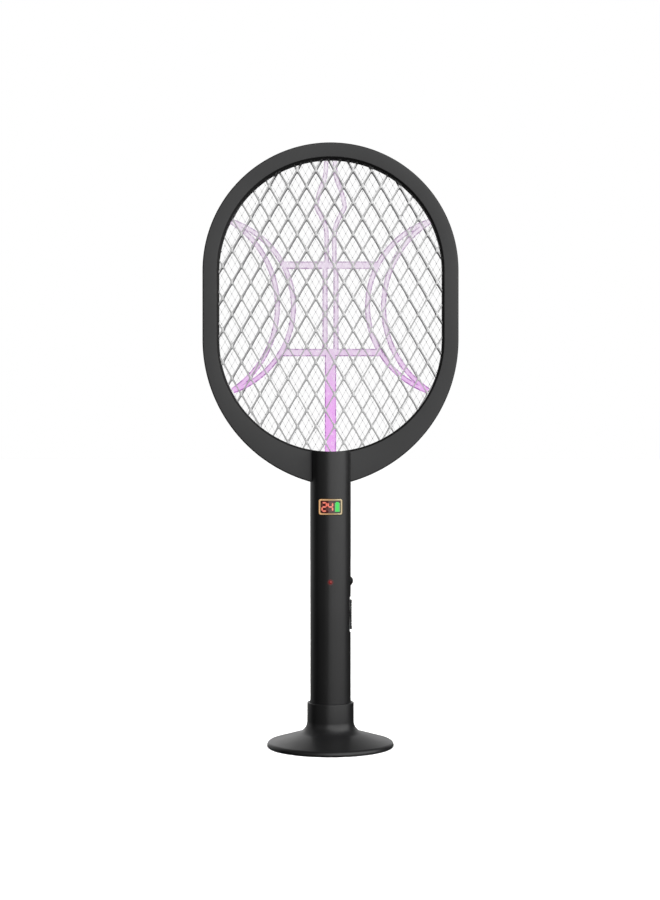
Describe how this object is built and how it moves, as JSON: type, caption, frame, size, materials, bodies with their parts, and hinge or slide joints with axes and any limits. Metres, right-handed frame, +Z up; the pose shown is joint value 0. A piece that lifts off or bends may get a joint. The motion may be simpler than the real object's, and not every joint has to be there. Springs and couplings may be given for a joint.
{
  "type": "electric fly swatter",
  "caption": "Oval-headed battery fly swatter with metal grilles, a violet light guide and a display on its round handle, standing in a weighted base.",
  "frame": {"origin": "centre of the resting face, on the handle's axis", "axes": "+Z up along the handle, -Y towards the display side, +X towards the switches"},
  "size_m": [0.2194, 0.1088, 0.5179],
  "materials": {
    "frame_black": "moulded black plastic with a fine matte texture",
    "handle_black": "satin black plastic",
    "stand_black": "satin black plastic",
    "control_black": "soft matte black plastic",
    "spacer_plastic": "black insulating plastic",
    "grille_metal": "bright expanded metal",
    "net_wire": "fine bright wire",
    "light_guide": "clear violet plastic, lit from below",
    "circuit_board": "green solder mask",
    "led_package": "clear yellow phosphor lens",
    "screw_steel": "zinc-plated steel",
    "contact_steel": "nickel-plated steel",
    "bezel_gold": "pale gold satin line",
    "display_face": "smoked black face",
    "lit_red": "lit red segment",
    "unlit_grey": "unlit segment",
    "gauge_green": "lit green segment",
    "led_red": "red diffused lens",
    "coil_tape": "yellow winding tape",
    "capacitor_red": "dipped red coating",
    "switch_body": "black switch housing",
    "cell_wrap": "shrink wrap",
    "wire_red": "silicone insulation",
    "weight_iron": "plain cast disc",
    "pad_rubber": "soft non-slip rubber"
  },
  "bodies": {
    "stand": {"stand_shell": "stand_black", "stand_weight": "weight_iron", "stand_plate": "stand_black", "stand_pad": "pad_rubber", "stand_screws": "screw_steel"},
    "swatter": {"front_frame": "frame_black", "rear_frame": "frame_black", "front_grille": "grille_metal", "rear_grille": "grille_metal", "front_spacer": "spacer_plastic", "rear_spacer": "spacer_plastic", "hv_net": "net_wire", "light_guide": "light_guide", "uv_board": "circuit_board", "uv_leds": "led_package", "frame_screws": "screw_steel", "handle_front": "handle_black", "handle_rear": "handle_black", "handle_cap": "handle_black", "handle_screws": "screw_steel", "display_bezel": "bezel_gold", "display_module": "display_face", "lit_segments": "lit_red", "unlit_segments": "unlit_grey", "battery_gauge": "gauge_green", "indicator_led": "led_red", "main_board": "circuit_board", "hv_transformer": "coil_tape", "hv_capacitor": "capacitor_red", "tact_switch": "switch_body", "slide_switch": "contact_steel", "charge_port": "contact_steel", "battery_cradle": "spacer_plastic", "battery_cell": "cell_wrap", "battery_spring": "contact_steel", "battery_contact": "contact_steel", "battery_leads": "wire_red", "hv_leads": "wire_red"},
    "zap_button": {"zap_button": "control_black"},
    "power_slider": {"slider_knob": "control_black", "switch_lever": "switch_body"}
  },
  "joints": [
    {"name": "swatter_lift", "type": "slide", "parent": "stand", "child": "swatter", "axis": [0, 0, 1], "range_m": [0, 0.06]},
    {"name": "zap_press", "type": "slide", "parent": "swatter", "child": "zap_button", "axis": [-1, 0, 0], "range_m": [0, 0.001], "stiffness_N_per_m": 1500},
    {"name": "power_slide", "type": "slide", "parent": "swatter", "child": "power_slider", "axis": [0, 0, 1], "range_m": [-0.002, 0.002]}
  ]
}
